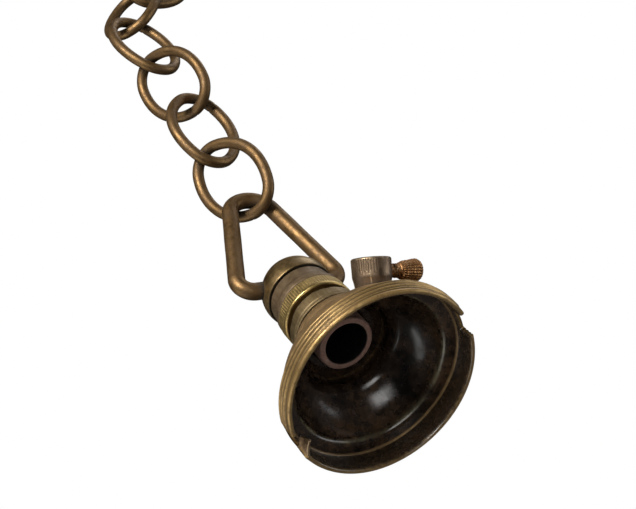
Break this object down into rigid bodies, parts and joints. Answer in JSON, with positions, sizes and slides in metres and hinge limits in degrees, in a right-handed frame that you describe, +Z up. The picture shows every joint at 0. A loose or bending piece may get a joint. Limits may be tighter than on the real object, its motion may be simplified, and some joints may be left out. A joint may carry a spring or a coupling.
{
  "type": "hanging lampholder cap",
  "caption": "Brass lampholder cap with a threaded skirt, lock ring, hub and wire bail, hung from a chain of oval wire links.",
  "frame": {"origin": "centre of the cap's open rim, on the rim's plane", "axes": "+Z up along the cap's axis towards the chain; -Y towards the clamp pillar; +X along the clamp screw to its head"},
  "size_m": [0.0439, 0.0741, 0.2449],
  "materials": {
    "cap_brass": "aged, olive-brown outside and black-brown inside",
    "bush_brass": "aged, olive-brown",
    "nipple_brass": "dull pinkish brown",
    "ring_brass": "bright, straight-milled",
    "hub_bronze": "antique bronze, satin",
    "bail_bronze": "antique bronze, satin",
    "pillar_brass": "grey-brown, satin",
    "screw_copper": "copper-brown, milled",
    "chain_bronze": "antique bronze, satin"
  },
  "bodies": {
    "link_12": {"chain_link_12": "chain_bronze"},
    "link_11": {"chain_link_11": "chain_bronze"},
    "link_10": {"chain_link_10": "chain_bronze"},
    "link_9": {"chain_link_9": "chain_bronze"},
    "link_8": {"chain_link_8": "chain_bronze"},
    "link_7": {"chain_link_7": "chain_bronze"},
    "link_6": {"chain_link_6": "chain_bronze"},
    "link_5": {"chain_link_5": "chain_bronze"},
    "link_4": {"chain_link_4": "chain_bronze"},
    "link_3": {"chain_link_3": "chain_bronze"},
    "link_2": {"chain_link_2": "chain_bronze"},
    "link_1": {"chain_link_1": "chain_bronze"},
    "bail": {"bail": "bail_bronze"},
    "hub": {"hub": "hub_bronze"},
    "cap": {"cap_shell": "cap_brass", "entry_bush": "bush_brass", "nipple": "nipple_brass", "clamp_pillar": "pillar_brass"},
    "lock_ring": {"lock_ring": "ring_brass"},
    "clamp_screw": {"clamp_screw": "screw_copper"}
  },
  "joints": [
    {"name": "link_11_swing", "type": "hinge", "parent": "link_12", "child": "link_11", "pos_m": [0.0203, -0.0492, 0.2268], "axis": [0.7645, -0.6366, -0.1008], "range_deg": [-40, 40]},
    {"name": "link_10_swing", "type": "hinge", "parent": "link_11", "child": "link_10", "pos_m": [0.02073, -0.04635, 0.20986], "axis": [0.6646, 0.7359, 0.1298], "range_deg": [-40, 40]},
    {"name": "link_9_swing", "type": "hinge", "parent": "link_10", "child": "link_9", "pos_m": [0.02012, -0.04296, 0.19303], "axis": [0.7415, -0.6607, -0.1165], "range_deg": [-40, 40]},
    {"name": "link_8_swing", "type": "hinge", "parent": "link_9", "child": "link_8", "pos_m": [0.02055, -0.03998, 0.17612], "axis": [0.7914, 0.6074, 0.0686], "range_deg": [-40, 40]},
    {"name": "link_7_swing", "type": "hinge", "parent": "link_8", "child": "link_7", "pos_m": [0.01895, -0.03721, 0.15923], "axis": [0.5766, -0.7562, -0.3094], "range_deg": [-40, 40]},
    {"name": "link_6_swing", "type": "hinge", "parent": "link_7", "child": "link_6", "pos_m": [0.0124, -0.03346, 0.14386], "axis": [0.7981, 0.3043, -0.52], "range_deg": [-40, 40]},
    {"name": "link_5_swing", "type": "hinge", "parent": "link_6", "child": "link_5", "pos_m": [0.00054, -0.02811, 0.13272], "axis": [0.4096, -0.5547, -0.7242], "range_deg": [-40, 40]},
    {"name": "link_4_swing", "type": "hinge", "parent": "link_5", "child": "link_4", "pos_m": [-0.00515, -0.02417, 0.11761], "axis": [0.9643, 0.1732, -0.2003], "range_deg": [-40, 40]},
    {"name": "link_3_swing", "type": "hinge", "parent": "link_4", "child": "link_3", "pos_m": [-0.0066, -0.02077, 0.10127], "axis": [0.3426, -0.7778, -0.5269], "range_deg": [-40, 40]},
    {"name": "link_2_swing", "type": "hinge", "parent": "link_3", "child": "link_2", "pos_m": [-0.0005, -0.01701, 0.08633], "axis": [0.9558, 0.2079, -0.208], "range_deg": [-40, 40]},
    {"name": "link_1_swing", "type": "hinge", "parent": "link_2", "child": "link_1", "pos_m": [-0.00429, -0.01062, 0.07098], "axis": [0.3442, -0.9236, -0.1686], "range_deg": [-40, 40]},
    {"name": "bail_swing", "type": "hinge", "parent": "link_1", "child": "bail", "pos_m": [0.00147, -0.00688, 0.056], "axis": [-0.8958, -0.0461, 0.4421], "range_deg": [-10, 40]},
    {"name": "hub_tilt", "type": "hinge", "parent": "bail", "child": "hub", "pos_m": [0, 0, 0.0335], "axis": [0.9954, -0.0958, 0], "range_deg": [-78, 111]},
    {"name": "cap_turn", "type": "hinge", "parent": "hub", "child": "cap", "pos_m": [0, 0, 0.0252], "axis": [0, 0, 1], "range_deg": [-180, 180]},
    {"name": "ring_turn", "type": "hinge", "parent": "cap", "child": "lock_ring", "pos_m": [0, 0, 0.0236], "axis": [0, 0, 1], "continuous": true},
    {"name": "screw_travel", "type": "slide", "parent": "cap", "child": "clamp_screw", "axis": [1, 0, 0], "range_m": [-0.00145, 0.0015]}
  ]
}
